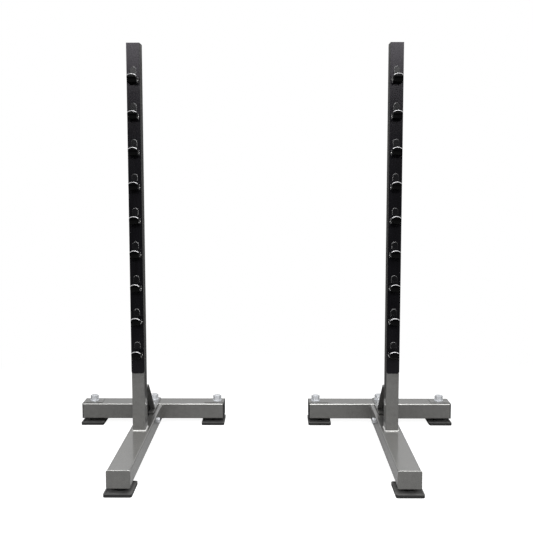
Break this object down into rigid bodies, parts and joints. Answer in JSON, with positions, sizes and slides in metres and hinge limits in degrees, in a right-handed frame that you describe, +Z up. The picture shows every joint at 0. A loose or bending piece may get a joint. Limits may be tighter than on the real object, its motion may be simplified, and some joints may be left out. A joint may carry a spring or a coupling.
{
  "type": "squat stand",
  "caption": "Pair of free-standing squat stands: an upright with a ladder of J-hooks on a T-shaped base with rubber feet.",
  "frame": {"origin": "on the floor, in the middle of the pair's footprint", "axes": "+X from the left stand to the right stand, +Y from the hooks towards the rear beams, +Z up"},
  "size_m": [1.844, 1.158, 1.803],
  "materials": {
    "grey_paint": "metallic grey powder coat, slightly glossy",
    "black_paint": "black powder coat, satin",
    "zinc_steel": "bright zinc plate",
    "black_plastic": "matt moulded",
    "black_rubber": "matt moulded"
  },
  "bodies": {
    "left_stand": {"left_upright": "grey_paint", "left_top_cap": "black_plastic", "left_face_plate": "black_paint", "left_hook_1": "black_paint", "left_hook_2": "black_paint", "left_hook_3": "black_paint", "left_hook_4": "black_paint", "left_hook_5": "black_paint", "left_hook_6": "black_paint", "left_hook_7": "black_paint", "left_hook_8": "black_paint", "left_hook_9": "black_paint", "left_spine": "grey_paint", "left_spine_cap": "grey_paint", "left_rear_beam": "grey_paint", "left_rear_caps": "black_plastic", "left_brace": "grey_paint", "left_gusset": "black_paint", "left_tie_plate": "grey_paint", "left_spigot": "grey_paint", "left_clamp_bolt": "zinc_steel", "left_clamp_nut": "zinc_steel", "left_rear_bolts": "zinc_steel", "left_washers": "zinc_steel", "left_beam_nuts": "zinc_steel", "left_front_foot_bolt": "zinc_steel", "left_doublers": "grey_paint", "left_front_foot": "black_rubber", "left_rear_foot_inner": "black_rubber", "left_rear_foot_outer": "black_rubber"},
    "right_stand": {"right_upright": "grey_paint", "right_top_cap": "black_plastic", "right_face_plate": "black_paint", "right_hook_1": "black_paint", "right_hook_2": "black_paint", "right_hook_3": "black_paint", "right_hook_4": "black_paint", "right_hook_5": "black_paint", "right_hook_6": "black_paint", "right_hook_7": "black_paint", "right_hook_8": "black_paint", "right_hook_9": "black_paint", "right_spine": "grey_paint", "right_spine_cap": "grey_paint", "right_rear_beam": "grey_paint", "right_rear_caps": "black_plastic", "right_brace": "grey_paint", "right_gusset": "black_paint", "right_tie_plate": "grey_paint", "right_spigot": "grey_paint", "right_clamp_bolt": "zinc_steel", "right_clamp_nut": "zinc_steel", "right_rear_bolts": "zinc_steel", "right_washers": "zinc_steel", "right_beam_nuts": "zinc_steel", "right_front_foot_bolt": "zinc_steel", "right_doublers": "grey_paint", "right_front_foot": "black_rubber", "right_rear_foot_inner": "black_rubber", "right_rear_foot_outer": "black_rubber"}
  },
  "joints": [
    {"name": "spacing", "type": "slide", "parent": "left_stand", "child": "right_stand", "axis": [1, 0, 0], "range_m": [-0.3, 0.13]}
  ]
}
